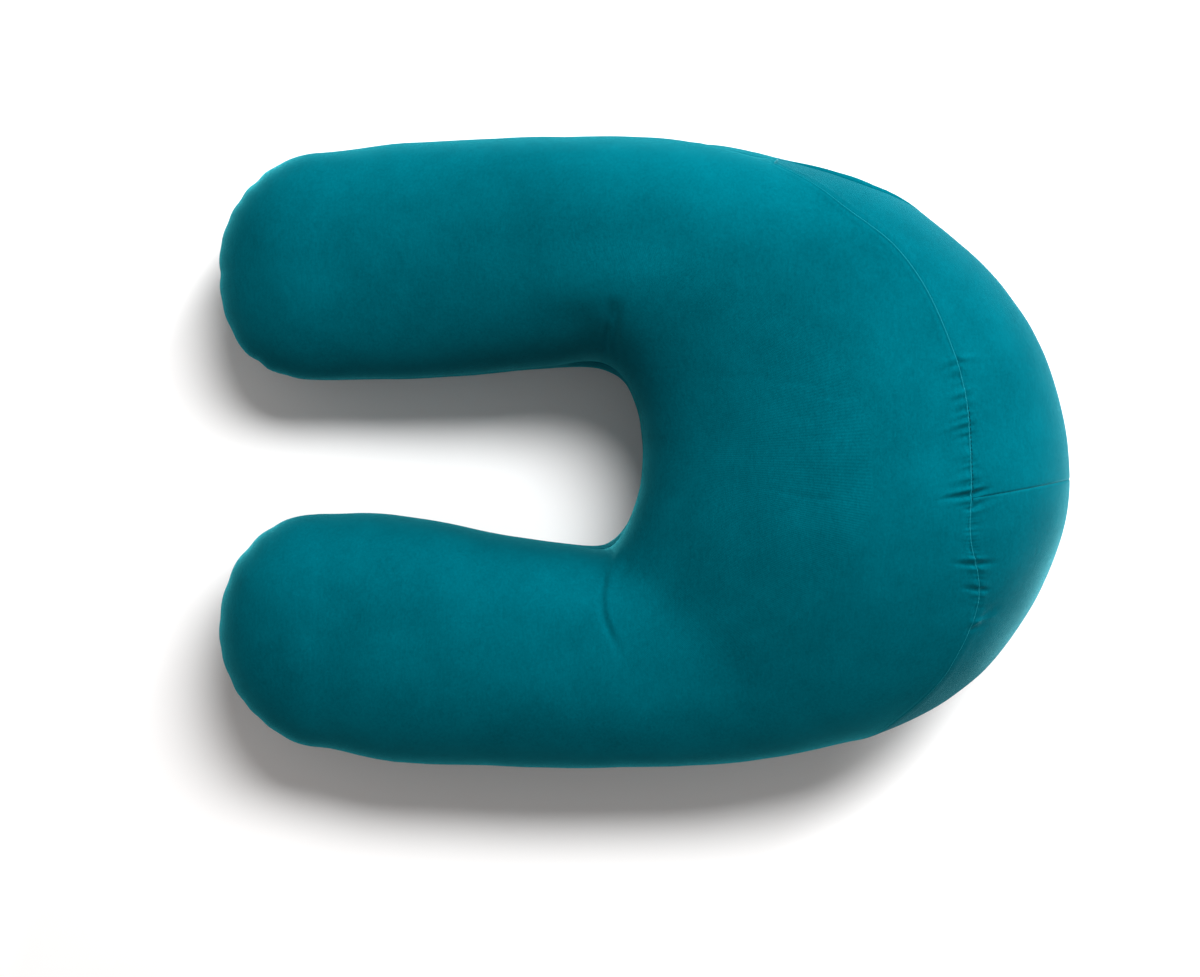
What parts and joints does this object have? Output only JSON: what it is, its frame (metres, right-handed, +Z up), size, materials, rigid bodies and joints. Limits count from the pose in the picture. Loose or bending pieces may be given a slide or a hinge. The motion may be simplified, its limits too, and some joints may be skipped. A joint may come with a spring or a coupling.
{
  "type": "back support pillow",
  "caption": "Stuffed U-shaped back support pillow in stretch cloth, with long arms, a thick rounded back and a lens-shaped gusset sewn round the outside of the curve.",
  "frame": {"origin": "middle of the pillow's box on the surface that it lies on", "axes": "+Z up through the pillow as it lies on its back, +X from the open ends of the arms to the rounded back, +Y from the lower arm to the upper arm"},
  "size_m": [0.7594, 0.564, 0.2469],
  "materials": {
    "panel_cloth": "plain teal stretch knit, matt with a soft sheen",
    "gusset_cloth": "plain teal stretch knit, matt with a soft sheen",
    "seam_thread": "matching teal sewing thread"
  },
  "bodies": {
    "root": {"pillow_body": "panel_cloth", "gusset_upper": "gusset_cloth", "gusset_lower": "gusset_cloth"}
  },
  "joints": []
}
